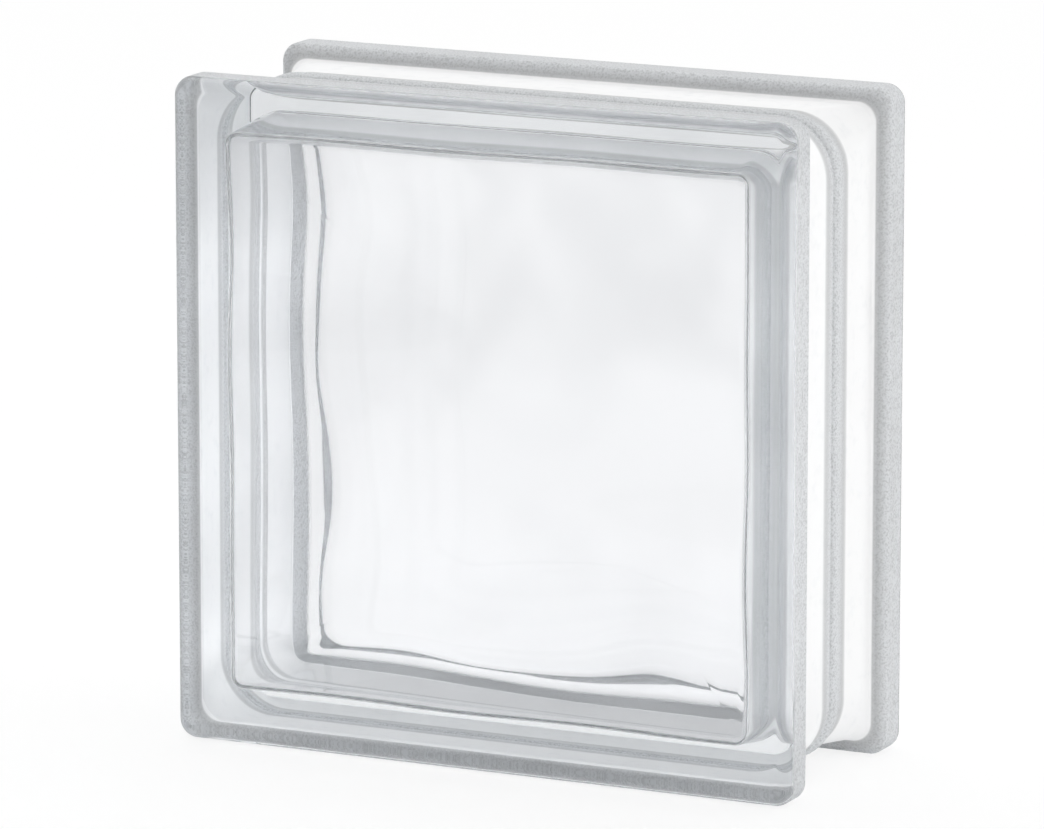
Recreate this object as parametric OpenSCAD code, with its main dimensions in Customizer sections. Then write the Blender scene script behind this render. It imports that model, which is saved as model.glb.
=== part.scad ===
// Hollow glass block for walls and screens, two identical pressed halves fused edge to edge.
// Millimetres. X is the width, Y the depth, Z up. The block stands on its rims at Z = 0,
// with the middle of its depth, where the halves are fused, at Y = 0.

/* [Block] */
// Width of the face
block_w = 190; // [140:1:300]
// Height of the face
block_h = 190; // [140:1:300]
// Depth from face to face
block_d = 80; // [70:1:100]

/* [Rims] */
// Corner radius of the rim's outline
rim_corner_r = 5.5; // [5:0.5:12]
// Radius where the face rolls over into the rim
rim_edge_r = 4; // [2:0.5:4.5]
// Width of the rim's flat outer band
rim_flat = 7; // [5:0.5:9]
// Radius where the outer band rolls over into the rim's back face
rim_back_r = 1.5; // [1:0.5:2]
// Angle between the outer band and the rim's back face, in degrees
rim_slope = 60; // [50:1:75]

/* [Mortar channel] */
// Depth of the channel below the rim
channel_depth = 4.5; // [4:0.5:6]
// Radius of the cove between the rim's back face and the channel floor
channel_cove_r = 1.5; // [1:0.5:2]
// Angle at which the floor climbs from the cove to the seam, in degrees
channel_climb = 0.5; // [0.5:0.5:3]
// Corner radius of the channel's outline beside the seam
channel_corner_r = 17; // [10:0.5:18]
// Height of the fused seam above the channel floor
seam_h = 1; // [0.5:0.1:2]
// Width of the fused seam
seam_w = 5; // [3:0.5:6]

/* [Hollow] */
// Mean thickness of each pane
pane_t = 8; // [7:0.5:12]
// Distance from the rim to the hollow's wall beside the pane
wall_inset = 15; // [13:0.5:18]
// Distance from the rim to the hollow's wall beside the seam
seam_inset = 12; // [10:0.5:13]
// Corner radius of the hollow's outline beside the pane
hollow_corner_r = 4; // [4:0.5:8]
// Corner radius of the hollow's outline beside the seam
seam_corner_r = 10; // [8:0.5:14]
// Radius where pane and wall meet inside
hollow_fillet = 3; // [1.5:0.5:3.5]
// Height of the inner bead that the fused seam leaves
bead_h = 0.8; // [0.2:0.1:1.5]

/* [Waves] */
// Height of the upright wave above the pane's mean surface
upright_h = 1.35; // [0:0.05:1.6]
// Crest spacing of the upright wave
upright_l = 61.6; // [40:0.1:120]
// Direction in which the upright wave runs, in degrees from X
upright_dir = 90; // [0:0.1:180]
// Place of the upright wave along its run, in degrees
upright_at = 141; // [0:1:359]
// Height of the slanting wave
slanting_h = 1.3; // [0:0.05:1.6]
// Crest spacing of the slanting wave
slanting_l = 70.9; // [40:0.1:120]
// Direction in which the slanting wave runs
slanting_dir = 83.6; // [0:0.1:180]
// Place of the slanting wave along its run
slanting_at = 321; // [0:1:359]
// Height of the cross wave
cross_h = 1.4; // [0:0.05:1.6]
// Crest spacing of the cross wave
cross_l = 75.7; // [40:0.1:120]
// Direction in which the cross wave runs
cross_dir = 178.1; // [0:0.1:180]
// Place of the cross wave along its run
cross_at = 235; // [0:1:359]

/* [Hidden] */

half_d = block_d / 2;
arc_steps = 4;        // points along each rounding of the section
floor_steps = 4;      // steps along the channel floor
corner_steps = 6;     // steps round each corner of the outer outline
side_steps = 16;      // steps along each side of the hollow's outline
pane_rings = 12;      // rings of points from a pane's middle to its border

waves = [
    [upright_h, upright_l, upright_dir, upright_at],
    [slanting_h, slanting_l, slanting_dir, slanting_at],
    [cross_h, cross_l, cross_dir, cross_at],
];

// Height of the wave relief at x across and z up from a pane's middle
function relief(x, z, i = 0) =
    i == len(waves) ? 0
    : waves[i][0] * sin(waves[i][3]
        + 360 / waves[i][1] * (x * cos(waves[i][2]) + z * sin(waves[i][2])))
      + relief(x, z, i + 1);

function mix(a, b, share) = a + (b - a) * share;

// Points on an arc in a section, as [inset from the rim, distance from the face]
function section_arc(centre, r, from, to) =
    [for (i = [0 : arc_steps])
        let (a = mix(from, to, i / arc_steps))
        centre + r * [cos(a), sin(a)]];

// Points of one rounded rectangle, anticlockwise seen from the front, as [x, z] from its middle
function outline(half_w, half_h, r, steps, straights) =
    [for (corner = [0 : 3])
        let (
            sx = corner == 0 || corner == 3 ? 1 : -1,
            sz = corner < 2 ? 1 : -1,
            centre = [sx * (half_w - r), sz * (half_h - r)],
            along = corner % 2 == 0 ? [-sx, 0] : [0, -sz],
            run = 2 * ((corner % 2 == 0 ? half_w : half_h) - r),
            from = corner * 90
        )
        each concat(
            [for (i = [0 : steps])
                centre + r * [cos(from + 90 * i / steps), sin(from + 90 * i / steps)]],
            [for (i = [1 : 1 : straights - 1])
                centre + r * [cos(from + 90), sin(from + 90)] + along * run * i / straights]
        )];

// Solid through rings of points with equal counts, closed at each end to a middle point
module loft(rings, first_tip, last_tip) {
    n = len(rings[0]);
    last = len(rings) - 1;
    tip = len(rings) * n;
    faces = concat(
        [for (i = [0 : n - 1]) [tip, (i + 1) % n, i]],
        [for (k = [0 : last - 1], i = [0 : n - 1])
            let (j = (i + 1) % n)
            each [[k * n + i, k * n + j, (k + 1) * n + j],
                  [k * n + i, (k + 1) * n + j, (k + 1) * n + i]]],
        [for (i = [0 : n - 1]) [tip + 1, last * n + i, last * n + (i + 1) % n]]
    );
    polyhedron(concat([for (ring = rings) each ring], [first_tip, last_tip]), faces, convexity = 6);
}

// Section of the rim and channel from the face's border to the seam
rim_end = rim_edge_r + rim_flat;
face_rise = channel_depth - (rim_back_r + channel_cove_r) * (1 - cos(rim_slope));
cove_at = rim_end + (rim_back_r + channel_cove_r) * sin(rim_slope) + face_rise / tan(rim_slope);
cove_centre = [channel_depth - channel_cove_r, cove_at];
cove_start = cove_at - channel_cove_r * sin(rim_slope);
floor_start = cove_centre + channel_cove_r * [cos(channel_climb), sin(channel_climb)];
seam_foot_at = half_d - seam_w / 2;
seam_foot = floor_start[0] - (seam_foot_at - floor_start[1]) * tan(channel_climb);
edge_section = section_arc([rim_edge_r, rim_edge_r], rim_edge_r, 270, 180);
channel_section = concat(
    section_arc([rim_back_r, rim_end], rim_back_r, 180, 180 - rim_slope),
    section_arc(cove_centre, channel_cove_r, -rim_slope, channel_climb),
    [for (i = [1 : floor_steps - 1])
        mix(floor_start, [seam_foot, seam_foot_at], i / floor_steps)],
    [for (i = [0 : arc_steps])
        let (a = 90 * i / arc_steps)
        [seam_foot - seam_h * sin(a), half_d - seam_w / 2 * cos(a)]]
);

function outer_ring(inset, r, y) =
    [for (p = outline(block_w / 2 - inset, block_h / 2 - inset, r, corner_steps, 1))
        [p[0], y, p[1] + block_h / 2]];

// Corner radius of the outline at a distance from the face, growing from the cove to the seam
function channel_r(depth) =
    mix(rim_corner_r, channel_corner_r,
        sin(90 * max(0, min(1, (depth - cove_start) / (seam_foot_at - cove_start)))));

// Rings of the outer surface of one half, from its face to the seam
function outer_half(side) = concat(
    [for (p = edge_section) outer_ring(p[0], rim_corner_r - p[0], side * (half_d - p[1]))],
    [for (p = channel_section) outer_ring(p[0], channel_r(p[1]), side * (half_d - p[1]))]
);

function backwards(list) = [for (i = [len(list) - 1 : -1 : 0]) list[i]];
function without_first(list) = [for (i = [1 : len(list) - 1]) list[i]];

module outer_form() {
    loft(concat(outer_half(-1), without_first(backwards(outer_half(1)))),
        [0, -half_d, block_h / 2], [0, half_d, block_h / 2]);
}

// One ring of the hollow. The relief moves it along the depth by its share.
// The second half is the first turned round the vertical, so its relief is turned as well.
function hollow_ring(half_w, half_h, r, depth, share, side) =
    [for (p = outline(half_w, half_h, r, arc_steps, side_steps))
        [p[0], side * (half_d - depth - share * relief(-side * p[0], p[1])), p[1] + block_h / 2]];

// Rings of the hollow in one half, from the middle of its pane to the seam
function hollow_half(side) =
    let (
        pane_w = block_w / 2 - wall_inset - hollow_fillet,
        pane_h = block_h / 2 - wall_inset - hollow_fillet,
        pane_r = hollow_corner_r - hollow_fillet,
        wall_from = pane_t + hollow_fillet,
        wall_to = half_d - seam_w / 2
    )
    concat(
        [for (k = [1 : pane_rings])
            let (share = k / pane_rings)
            hollow_ring(pane_w * share, pane_h * share,
                share * mix(min(pane_w, pane_h) / 2, pane_r, share), pane_t, 1, side)],
        [for (i = [1 : arc_steps])
            let (a = 90 * i / arc_steps, out = hollow_fillet * sin(a))
            hollow_ring(pane_w + out, pane_h + out, pane_r + out,
                pane_t + hollow_fillet * (1 - cos(a)), 1, side)],
        [for (i = [1 : arc_steps])
            let (share = i / arc_steps, out = hollow_fillet + (wall_inset - seam_inset) * share)
            hollow_ring(pane_w + out, pane_h + out, mix(hollow_corner_r, seam_corner_r, share),
                mix(wall_from, wall_to, share), 1 - share, side)],
        [for (i = [1 : arc_steps])
            let (
                a = 90 * i / arc_steps,
                out = hollow_fillet + wall_inset - seam_inset - bead_h * sin(a)
            )
            hollow_ring(pane_w + out, pane_h + out, seam_corner_r - bead_h * sin(a),
                half_d - seam_w / 2 * cos(a), 0, side)]
    );

module hollow() {
    pane_at = half_d - pane_t - relief(0, 0);
    loft(concat(hollow_half(-1), without_first(backwards(hollow_half(1)))),
        [0, -pane_at, block_h / 2], [0, pane_at, block_h / 2]);
}

module glass_block() {
    color([0.86, 0.9, 0.91, 0.45])
        difference() {
            outer_form();
            hollow();
        }
}

glass_block();
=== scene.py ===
import math

import bpy
import numpy as np
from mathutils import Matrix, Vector


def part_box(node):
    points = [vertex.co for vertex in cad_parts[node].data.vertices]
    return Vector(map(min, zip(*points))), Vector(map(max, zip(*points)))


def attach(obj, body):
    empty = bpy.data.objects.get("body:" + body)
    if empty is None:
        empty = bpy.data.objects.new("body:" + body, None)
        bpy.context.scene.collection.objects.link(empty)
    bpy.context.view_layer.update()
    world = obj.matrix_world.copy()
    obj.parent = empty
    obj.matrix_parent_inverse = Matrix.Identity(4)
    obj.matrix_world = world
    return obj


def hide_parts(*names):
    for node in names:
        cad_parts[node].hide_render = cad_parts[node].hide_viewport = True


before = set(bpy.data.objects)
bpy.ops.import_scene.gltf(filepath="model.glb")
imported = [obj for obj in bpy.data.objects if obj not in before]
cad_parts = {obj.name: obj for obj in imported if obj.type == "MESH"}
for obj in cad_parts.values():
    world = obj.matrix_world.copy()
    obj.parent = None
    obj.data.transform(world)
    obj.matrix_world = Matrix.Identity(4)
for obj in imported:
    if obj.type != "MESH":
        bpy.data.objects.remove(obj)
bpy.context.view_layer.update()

scene = bpy.context.scene
mm = 0.001

# sizes of the block in millimetres, the same as those of the solid it replaces
glassBlock = {
    "rimCornerR": 5.5, "rimEdgeR": 4.0, "rimFlat": 7.0, "rimBackR": 1.5, "rimSlope": 60.0,
    "channelDepth": 4.5, "channelCoveR": 1.5, "channelClimb": 0.5, "channelCornerR": 17.0,
    "seamH": 1.0, "seamW": 5.0,
    "paneT": 8.0, "wallInset": 15.0, "seamInset": 12.0,
    "hollowCornerR": 4.0, "hollowFillet": 3.0, "seamCornerR": 10.0, "beadH": 0.8,
    # each wave: height, crest spacing, direction from X and place along its run in degrees
    "waves": [(1.35, 61.6, 90.0, 141.0), (1.3, 70.9, 83.6, 321.0), (1.4, 75.7, 178.1, 235.0)],
    # ways along the section, from the face's border, over which polish turns to matt and matt to satin
    "mattFrom": 4.5, "mattFull": 6.5, "satinFrom": 17.8, "satinFull": 18.8, "satinTo": 41.2,
    # ways over which painted shade darkens the rim's back face towards the cove
    "shadeFrom": 13.6, "shadeFull": 18.3,
    # counts of steps along each part of the surface, and shares at which rings cross the flat face
    "cornerSteps": 14, "sideSteps": 36, "arcSteps": 14, "flatSteps": 4, "wallSteps": 10, "paneRings": 40,
    "faceShares": (0.2, 0.4, 0.6, 0.8, 0.93, 0.995),
    # distances of the extra step from each end, as shares of the run
    "sideHold": 0.004, "flatHold": 0.03, "wallHold": 0.02,
}


# relief height: sum of height * sin(place + 360 / spacing * distance along the wave's direction)
def relief(x, z):
    h = np.zeros_like(x)
    for height, spacing, direction, place in glassBlock["waves"]:
        d = math.radians(direction)
        along = x * math.cos(d) + z * math.sin(d)
        h = h + height * np.sin(math.radians(place) + 2 * math.pi / spacing * along)
    return h


# arc in the section plane: centre + radius * (cos a, sin a), a running evenly from start to end
def sectionArc(centre, radius, start, end, steps):
    a = np.radians(np.linspace(start, end, steps + 1))
    return np.column_stack((centre[0] + radius * np.cos(a), centre[1] + radius * np.sin(a)))


# even steps with one extra close to each end, so that smooth shading stays on the curved part
def heldSteps(count, hold):
    t = np.linspace(0, 1, count + 1)
    return np.unique(np.concatenate(([0, hold], t[1:-1], [1 - hold, 1])))


# rounded rectangles, one for each row of half widths, half heights and radii:
# each corner is its centre plus radius * (cos a, sin a), and each side runs straight to the next corner
def roundedRings(halfW, halfH, radius, cornerSteps, sideSteps):
    signX, signZ = np.array([1, -1, -1, 1]), np.array([1, 1, -1, -1])
    arc = np.linspace(0, 1, cornerSteps + 1)
    side = heldSteps(sideSteps, glassBlock["sideHold"])[1:-1]
    corner = np.repeat(np.arange(4), len(arc) + len(side))
    share = np.tile(np.concatenate((arc, np.ones(len(side)))), 4)
    along = np.tile(np.concatenate((np.zeros(len(arc)), side)), 4)
    nextCorner = (corner + 1) % 4
    a, b = np.radians(90 * (corner + share)), np.radians(90 * nextCorner)
    w, h, r = (np.asarray(v, float).reshape(-1, 1) for v in (halfW, halfH, radius))
    startX = signX[corner] * (w - r) + r * np.cos(a)
    startZ = signZ[corner] * (h - r) + r * np.sin(a)
    endX = signX[nextCorner] * (w - r) + r * np.cos(b)
    endZ = signZ[nextCorner] * (h - r) + r * np.sin(b)
    return startX + (endX - startX) * along, startZ + (endZ - startZ) * along


# closed surface through rings of points, with a fan to a middle point at each end
def closedSurface(x, y, z, firstTip, lastTip):
    rows, n = x.shape
    points = np.concatenate((np.stack((x, y, z), -1).reshape(-1, 3), [firstTip, lastTip]))
    k, i = np.meshgrid(np.arange(rows - 1), np.arange(n), indexing="ij")
    j = (i + 1) % n
    quads = np.stack((k * n + i, (k + 1) * n + i, (k + 1) * n + j, k * n + j), -1).reshape(-1, 4)
    i = np.arange(n)
    j = (i + 1) % n
    tip = rows * n
    first = np.column_stack((np.full(n, tip), i, j))
    last = np.column_stack((np.full(n, tip + 1), (rows - 1) * n + j, (rows - 1) * n + i))
    return points, quads, np.concatenate((first, last))


# outside of one half: rounded rectangles carried along the section from the middle of the face to the seam
def outerHalf(p, halfW, halfH, halfD):
    steps, slope = p["arcSteps"], math.radians(p["rimSlope"])
    rimEnd, rounds = p["rimEdgeR"] + p["rimFlat"], p["rimBackR"] + p["channelCoveR"]
    rise = p["channelDepth"] - rounds * (1 - math.cos(slope))
    coveCentre = (p["channelDepth"] - p["channelCoveR"],
                  rimEnd + rounds * math.sin(slope) + rise / math.tan(slope))
    edge = sectionArc((p["rimEdgeR"], p["rimEdgeR"]), p["rimEdgeR"], 270, 180, steps)
    back = sectionArc((p["rimBackR"], rimEnd), p["rimBackR"], 180, 180 - p["rimSlope"], steps)
    cove = sectionArc(coveCentre, p["channelCoveR"], -p["rimSlope"], p["channelClimb"], steps)
    footAt = halfD - p["seamW"] / 2
    foot = cove[-1, 0] - (footAt - cove[-1, 1]) * math.tan(math.radians(p["channelClimb"]))
    a = np.radians(np.linspace(0, 90, steps + 1))
    seam = np.column_stack((foot - p["seamH"] * np.sin(a), halfD - p["seamW"] / 2 * np.cos(a)))
    t = heldSteps(p["flatSteps"], p["flatHold"])[1:-1, None]
    flat, face, floor = (start + (end - start) * t for start, end in
                         ((edge[-1], back[0]), (back[-1], cove[0]), (cove[-1], seam[0])))
    section = np.concatenate((edge, flat, back, face, cove, floor, seam))
    inset, depth = section[:, 0], section[:, 1]
    share = np.clip((depth - cove[0, 1]) / (footAt - cove[0, 1]), 0, 1)
    radius = np.where(depth < p["rimEdgeR"], p["rimCornerR"] - inset,
                      p["rimCornerR"] + (p["channelCornerR"] - p["rimCornerR"]) * np.sin(np.pi / 2 * share))
    share = np.array(p["faceShares"])
    w = np.concatenate((share * (halfW - p["rimEdgeR"]), halfW - inset))
    h = np.concatenate((share * (halfH - p["rimEdgeR"]), halfH - inset))
    r = np.concatenate((share * (p["rimCornerR"] - p["rimEdgeR"]), radius))
    d = np.concatenate((np.zeros(len(share)), depth))
    way = np.concatenate(([0], np.cumsum(np.hypot(np.diff(inset), np.diff(depth)))))
    way = np.concatenate((np.zeros(len(share)), way))
    x, z = roundedRings(w, h, r, p["cornerSteps"], p["sideSteps"])
    return x, np.broadcast_to(d[:, None], x.shape), z, way


# hollow of one half: rounded rectangles from the middle of the pane over the fillet and the wall
# to the seam, moved along the depth by the relief, in full on the pane and fading along the wall
def hollowHalf(p, halfW, halfH, halfD, turned):
    fillet, draft = p["hollowFillet"], p["wallInset"] - p["seamInset"]
    w0, h0 = halfW - p["wallInset"] - fillet, halfH - p["wallInset"] - fillet
    r0 = p["hollowCornerR"] - fillet
    share = np.linspace(0, 1, p["paneRings"] + 1)[1:]
    a = np.radians(np.linspace(0, 90, p["arcSteps"] + 1))[1:]
    t = heldSteps(p["wallSteps"], p["wallHold"])[1:]
    out = np.concatenate((fillet * np.sin(a), fillet + draft * t, fillet + draft - p["beadH"] * np.sin(a)))
    wallFrom, wallTo = p["paneT"] + fillet, halfD - p["seamW"] / 2
    depth = np.concatenate((np.full(len(share), p["paneT"]),
                            p["paneT"] + fillet * (1 - np.cos(a)),
                            wallFrom + (wallTo - wallFrom) * t,
                            halfD - p["seamW"] / 2 * np.cos(a)))
    keep = np.concatenate((np.ones(len(share) + len(a)), 1 - t, np.zeros(len(a))))
    w, h = np.concatenate((share * w0, w0 + out)), np.concatenate((share * h0, h0 + out))
    r = np.concatenate((share * (min(w0, h0) / 2 * (1 - share) + r0 * share),
                        r0 + fillet * np.sin(a),
                        p["hollowCornerR"] + (p["seamCornerR"] - p["hollowCornerR"]) * t,
                        p["seamCornerR"] - p["beadH"] * np.sin(a)))
    x, z = roundedRings(w, h, r, p["cornerSteps"], p["sideSteps"])
    return x, depth[:, None] + keep[:, None] * relief(-x if turned else x, z), z


# two halves back to back: the first from the front face to the seam, the second onwards to the rear face
def wholeSurface(front, rear, halfD, tipDepth):
    x = np.concatenate((front[0], rear[0][-2::-1]))
    y = np.concatenate((front[1] - halfD, halfD - rear[1][-2::-1]))
    z = np.concatenate((front[2], rear[2][-2::-1]))
    return closedSurface(x, y, z, (0, tipDepth - halfD, 0), (0, halfD - tipDepth, 0))


def buildBlock(name, low, high):
    p = glassBlock
    halfW, halfD, halfH = ((high[i] - low[i]) / 2 / mm for i in range(3))
    half = outerHalf(p, halfW, halfH, halfD)
    outer = wholeSurface(half, half, halfD, 0.0)
    hollowFront, hollowRear = (hollowHalf(p, halfW, halfH, halfD, turned) for turned in (False, True))
    middleDepth = p["paneT"] + float(relief(np.zeros(1), np.zeros(1))[0])
    hollow = wholeSurface(hollowFront, hollowRear, halfD, middleDepth)
    points = np.concatenate((outer[0], hollow[0])) * mm + np.array([0, 0, (low[2] + high[2]) / 2])
    count = len(outer[0])
    # the hollow's faces are turned, so that they point out of the glass
    groups = (outer[1], outer[2], hollow[1][:, ::-1] + count, hollow[2][:, ::-1] + count)
    faces = [face for group in groups for face in group.tolist()]
    mesh = bpy.data.meshes.new(name)
    mesh.from_pydata(points.tolist(), [], faces)
    # finish of each point (polished faces and hollow, matt rims and seam, satin channel) and painted shade
    # near the cove
    ringWay = np.concatenate((half[3], half[3][-2::-1]))
    way = np.concatenate((np.repeat(ringWay, half[0].shape[1]), np.zeros(2 + len(hollow[0]))))
    for finishAndShade in ("matt", "satin", "shade"):
        ramp = np.clip((way - p[finishAndShade + "From"]) / (p[finishAndShade + "Full"] - p[finishAndShade + "From"]), 0, 1)
        share = ramp * ramp * (3 - 2 * ramp) * (1 if finishAndShade == "matt" else way < p["satinTo"])
        mesh.attributes.new(finishAndShade, "FLOAT", "POINT").data.foreach_set("value", share.astype(np.float32))
    mesh.polygons.foreach_set("use_smooth", np.ones(len(mesh.polygons), bool))
    mesh.validate()
    mesh.update()
    obj = bpy.data.objects.new(name, mesh)
    scene.collection.objects.link(obj)
    print(name, len(mesh.vertices), "points,", len(mesh.polygons), "faces")
    return obj


# wraps a value socket, so that arithmetic on it adds Math nodes
class Value:
    def __init__(self, tree, socket):
        self.tree, self.socket = tree, socket

    def combine(self, operation, first, second):
        made = self.tree.node("ShaderNodeMath", {"operation": operation}, {0: first, 1: second})
        return made.out("Value")

    def __add__(self, other):
        return self.combine("ADD", self, other)

    def __radd__(self, other):
        return self.combine("ADD", other, self)

    def __sub__(self, other):
        return self.combine("SUBTRACT", self, other)

    def __rsub__(self, other):
        return self.combine("SUBTRACT", other, self)

    def __mul__(self, other):
        return self.combine("MULTIPLY", self, other)

    def __rmul__(self, other):
        return self.combine("MULTIPLY", other, self)


class Tree:
    def __init__(self, nodeTree):
        self.nodeTree = nodeTree
        nodeTree.nodes.clear()

    # one node of a type, with its settings first and then its sockets' values or links
    def node(self, kind, settings=None, sockets=None):
        made = self.nodeTree.nodes.new(kind)
        for key, value in (settings or {}).items():
            setattr(made, key, value)
        for key, value in (sockets or {}).items():
            if isinstance(value, Value):
                self.nodeTree.links.new(value.socket, made.inputs[key])
            else:
                made.inputs[key].default_value = value
        return NodeOutputs(self, made)


class NodeOutputs:
    def __init__(self, tree, made):
        self.tree, self.made = tree, made

    def out(self, key):
        return Value(self.tree, self.made.outputs[key])


glassFinish = {
    "ior": 1.52, "clearColour": (0.986, 0.989, 0.997, 1),
    # grey of the cloud patches of painted shade on the clear glass
    "cloudShadeColour": (0.89, 0.895, 0.905, 1),
    "cloudShadeScale": 17.0, "cloudShadeDetail": 2.0, "cloudShadeLevels": (0.42, 0.62),
    # share of the painted cloud shade at the foot, and its gain for each metre of height
    "cloudShadeFoot": 0.1, "cloudShadeGain": 5.0,
    "absorbColour": (0.54, 0.58, 0.605, 1), "absorbDensity": 5.0,
    "mattColour": (0.76, 0.775, 0.79, 1), "mattRoughness": 0.5, "mattThrough": 0.25,
    "grainColour": (0.54, 0.55, 0.56, 1), "grainStrength": 0.35, "grainHeight": 0.0003,
    "grainScale": 1700.0, "grainDetail": 3.0, "grainLevels": (0.4, 0.72),
    "satinColour": (0.985, 0.985, 0.985, 1), "satinRoughness": 0.6, "satinThrough": 0.2,
    "dustColour": (0.93, 0.935, 0.94, 1), "dustScale": 260.0, "dustDetail": 3.0, "dustLevels": (0.5, 0.8),
    # dark colour of the coat's border line and of the painted shade on the rim's back face
    "borderAndShadeColour": (0.2, 0.205, 0.21, 1), "borderStrength": 1.6, "shadeStrength": 0.55,
}


def pressedGlass():
    f = glassFinish
    material = bpy.data.materials.new("pressedGlass")
    material.use_nodes = True
    tree = Tree(material.node_tree)
    place = tree.node("ShaderNodeTexCoord").out("Object")

    # share of the second colour: noise of a given scale, spread between two levels
    def patches(kind):
        noise = tree.node("ShaderNodeTexNoise", None, {
            "Vector": place, "Scale": f[kind + "Scale"], "Detail": f[kind + "Detail"]})
        start, end = f[kind + "Levels"]
        return tree.node("ShaderNodeMapRange", {"interpolation_type": "SMOOTHSTEP"}, {
            "Value": noise.out("Fac"), "From Min": start, "From Max": end}).out("Result")

    def share(name):
        return tree.node("ShaderNodeAttribute", {"attribute_name": name}).out("Fac")

    def tint(amount, first, second):
        return tree.node("ShaderNodeMix", {"data_type": "RGBA"}, {0: amount, 6: first, 7: second}).out(2)

    # grey cloud patches of painted shade on the clear glass, thickening towards the top
    height = tree.node("ShaderNodeSeparateXYZ", None, {"Vector": place}).out("Z")
    paintedCloudShade = patches("cloudShade") * (f["cloudShadeFoot"] + f["cloudShadeGain"] * height)
    grain = patches("grain")
    dust = patches("dust")
    coated = share("satin")
    # dark line along the borders of the coat, strongest halfway through its ramp
    border = f["borderStrength"] * coated * (1 - coated)
    # painted shade on the matt rim's back face, darkest at the cove
    shade = f["shadeStrength"] * share("shade")
    bump = tree.node("ShaderNodeBump", None, {
        "Strength": f["grainStrength"], "Distance": f["grainHeight"], "Height": grain})
    clear = tree.node("ShaderNodeBsdfPrincipled", None, {
        "Base Color": tint(paintedCloudShade, f["clearColour"], f["cloudShadeColour"]), "Roughness": 0.0, "IOR": f["ior"],
        "Transmission Weight": 1.0})
    matt = tree.node("ShaderNodeBsdfPrincipled", None, {
        "Base Color": tint(shade, tint(grain, f["mattColour"], f["grainColour"]), f["borderAndShadeColour"]),
        "Roughness": f["mattRoughness"], "IOR": f["ior"], "Transmission Weight": f["mattThrough"],
        "Normal": bump.out("Normal")})
    satin = tree.node("ShaderNodeBsdfPrincipled", None, {
        "Base Color": tint(border, tint(dust, f["satinColour"], f["dustColour"]), f["borderAndShadeColour"]),
        "Roughness": f["satinRoughness"], "IOR": f["ior"], "Transmission Weight": f["satinThrough"],
        "Specular IOR Level": 0.0})
    rim = tree.node("ShaderNodeMixShader", None, {
        0: share("matt"), 1: clear.out("BSDF"), 2: matt.out("BSDF")})
    surface = tree.node("ShaderNodeMixShader", None, {
        0: coated, 1: rim.out("Shader"), 2: satin.out("BSDF")})
    volume = tree.node("ShaderNodeVolumeAbsorption", None, {
        "Color": f["absorbColour"], "Density": f["absorbDensity"]})
    tree.node("ShaderNodeOutputMaterial", None, {
        "Surface": surface.out("Shader"), "Volume": volume.out("Volume")})
    return material


low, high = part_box("glass_block")
block = buildBlock("glassBlock", low, high)
block.data.materials.append(pressedGlass())
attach(block, "root")
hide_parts("glass_block")

studio = {
    "white": (1, 1, 1, 1), "floorSize": 12.0, "floorDrop": 0.0002, "floorRoughness": 0.9,
    # the second colour is a grey copy of the floor as painted shade, shown in mirror reflections and to
    # rays leaving a matt or coated surface
    "floorColour": (1, 1, 1, 1), "mirrorFloorShade": (0.68, 0.68, 0.68, 1),
    # shares of real shading on the floor, to the camera and through the glass
    "floorShade": 0.2, "floorShadeThrough": 0.7,
    # levels of the world as light, in mirror reflections and to the rays that leave the glass,
    # each with the span of direction over which it changes
    "frontLevel": 0.5, "backLevel": 1.2, "levelSpan": (-0.6, 0.3),
    "mirrorFront": 0.38, "mirrorBack": 1.0, "mirrorSpan": (-0.8, 0.1),
    "mirrorTop": 0.45, "mirrorTopSpan": (0.0, 0.6),
    "insideLeft": 3.7, "insideRight": 5.2, "insideSpan": (-0.2, 0.6),
    "insideTop": 0.12, "insideTopSpan": (0.0, 0.65),
    # each softbox: name, place, size and power; both point at the same target
    "lampTarget": (0, 0, 0.1),
    "lamps": [("overhead", (-0.2, 0.3, 1.6), (1.6, 1.6), 4.0), ("right", (1.6, 0.4, 0.7), (1.2, 1.2), 2.2)],
}


# how a ray sees the studio, as four shares: by the camera, straight through the glass,
# by a mirror reflection, and out through the glass from a matt or coated surface
def sightShares(tree):
    path = tree.node("ShaderNodeLightPath")
    sharp = 1 - path.out("Is Diffuse Ray")
    turns, spreads = path.out("Glossy Depth"), path.out("Diffuse Depth")
    turned = turns.combine("MINIMUM", turns, 1.0)
    plain = 1 - spreads.combine("MINIMUM", spreads, 1.0)
    through = path.out("Is Transmission Ray") * plain * (1 - turned)
    return path.out("Is Camera Ray"), through, turned * plain, sharp * (1 - plain)


def studioFloor():
    half = studio["floorSize"] / 2
    mesh = bpy.data.meshes.new("studioFloor")
    corners = [(-half, -half, 0), (half, -half, 0), (half, half, 0), (-half, half, 0)]
    mesh.from_pydata(corners, [], [(0, 1, 2, 3)])
    floor = bpy.data.objects.new("studioFloor", mesh)
    floor.location.z = -studio["floorDrop"]
    scene.collection.objects.link(floor)
    material = bpy.data.materials.new("paleFloor")
    material.use_nodes = True
    tree = Tree(material.node_tree)
    direct, through, mirrored, inside = sightShares(tree)
    pale, shadedFloorCopy = (
        tree.node("ShaderNodeBsdfPrincipled", None, {
            "Base Color": studio[colour], "Roughness": studio["floorRoughness"]})
        for colour in ("floorColour", "mirrorFloorShade"))
    white = tree.node("ShaderNodeEmission", None, {"Color": studio["white"], "Strength": 1.0})
    # the lit floor, with its grey copy as painted shade for mirror reflections and for rays from a matt or
    # coated surface
    litFloorAndPaintedShade = tree.node("ShaderNodeMixShader", None, {
        0: mirrored + inside, 1: pale.out("BSDF"), 2: shadedFloorCopy.out("BSDF")})
    plain = direct * (1 - studio["floorShade"]) + through * (1 - studio["floorShadeThrough"])
    surface = tree.node("ShaderNodeMixShader", None, {
        0: plain, 1: litFloorAndPaintedShade.out("Shader"), 2: white.out("Emission")})
    tree.node("ShaderNodeOutputMaterial", None, {"Surface": surface.out("Shader")})
    mesh.materials.append(material)


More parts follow.
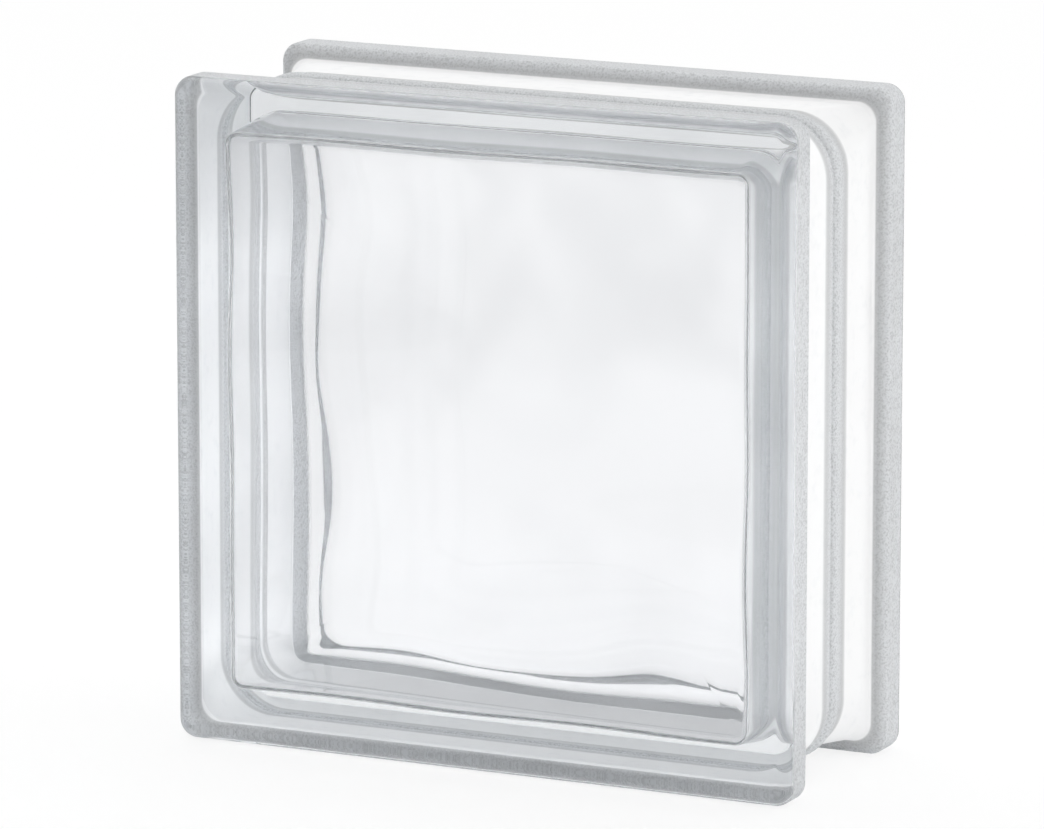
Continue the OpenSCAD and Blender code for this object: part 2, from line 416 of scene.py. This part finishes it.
# white to the camera and straight through the glass, grey in reflections, and brightest to the rays
# that leave the glass from a matt or coated surface; as light, brighter behind the block than before it
def studioWorld():
    world = bpy.data.worlds.new("studio")
    world.use_nodes = True
    scene.world = world
    tree = Tree(world.node_tree)
    coord = tree.node("ShaderNodeTexCoord")
    parts = tree.node("ShaderNodeSeparateXYZ", None, {"Vector": coord.out("Generated")})

    # smooth change from one level to another over a span of the direction
    def ramp(axis, span, first, second):
        return tree.node("ShaderNodeMapRange", {"interpolation_type": "SMOOTHSTEP"}, {
            "Value": parts.out(axis), "From Min": span[0], "From Max": span[1],
            "To Min": first, "To Max": second}).out("Result")

    s = studio
    level = ramp("Y", s["levelSpan"], s["frontLevel"], s["backLevel"])
    mirror = ramp("Y", s["mirrorSpan"], s["mirrorFront"], s["mirrorBack"])
    mirror = mirror * ramp("Z", s["mirrorTopSpan"], 1.0, s["mirrorTop"])
    within = ramp("X", s["insideSpan"], s["insideLeft"], s["insideRight"])
    within = within * ramp("Z", s["insideTopSpan"], 1.0, s["insideTop"])
    direct, through, mirrored, inside = sightShares(tree)
    spread = 1 - direct - through - mirrored - inside
    strength = direct + through + mirrored * mirror + inside * within + spread * level
    back = tree.node("ShaderNodeBackground", None, {"Color": s["white"], "Strength": strength})
    tree.node("ShaderNodeOutputWorld", None, {"Surface": back.out("Background")})


def softbox(name, place, target, size, power):
    light = bpy.data.lights.new(name, "AREA")
    light.shape, light.size, light.size_y, light.energy = "RECTANGLE", size[0], size[1], power
    lamp = bpy.data.objects.new(name, light)
    lamp.location = place
    lamp.rotation_euler = (Vector(target) - Vector(place)).to_track_quat("-Z", "Y").to_euler()
    scene.collection.objects.link(lamp)


studioFloor()
studioWorld()
for name, place, size, power in studio["lamps"]:
    softbox(name, place, studio["lampTarget"], size, power)

cameraPlace = {
    "azimuth": 25.73, "elevation": 11.73, "distance": 2.2524, "target": (-0.00522, 0.0, 0.09427),
    "lens": 276.5, "sensor": 36.0, "clip": (0.05, 50.0),
}


def makeCamera():
    c = cameraPlace
    data = bpy.data.cameras.new("camera")
    data.lens, data.sensor_width, data.sensor_fit = c["lens"], c["sensor"], "HORIZONTAL"
    data.clip_start, data.clip_end = c["clip"]
    camera = bpy.data.objects.new("camera", data)
    a, e = math.radians(c["azimuth"]), math.radians(c["elevation"])
    away = Vector((math.sin(a) * math.cos(e), -math.cos(a) * math.cos(e), math.sin(e)))
    camera.location = Vector(c["target"]) + away * c["distance"]
    camera.rotation_euler = (-away).to_track_quat("-Z", "Y").to_euler()
    scene.collection.objects.link(camera)
    scene.camera = camera


makeCamera()
scene.view_settings.view_transform = "Standard"
scene.cycles.max_bounces = 22
scene.cycles.transmission_bounces = 22
scene.cycles.glossy_bounces = 12
scene.cycles.diffuse_bounces = 7
scene.cycles.blur_glossy = 0.0
print("studio and camera set")
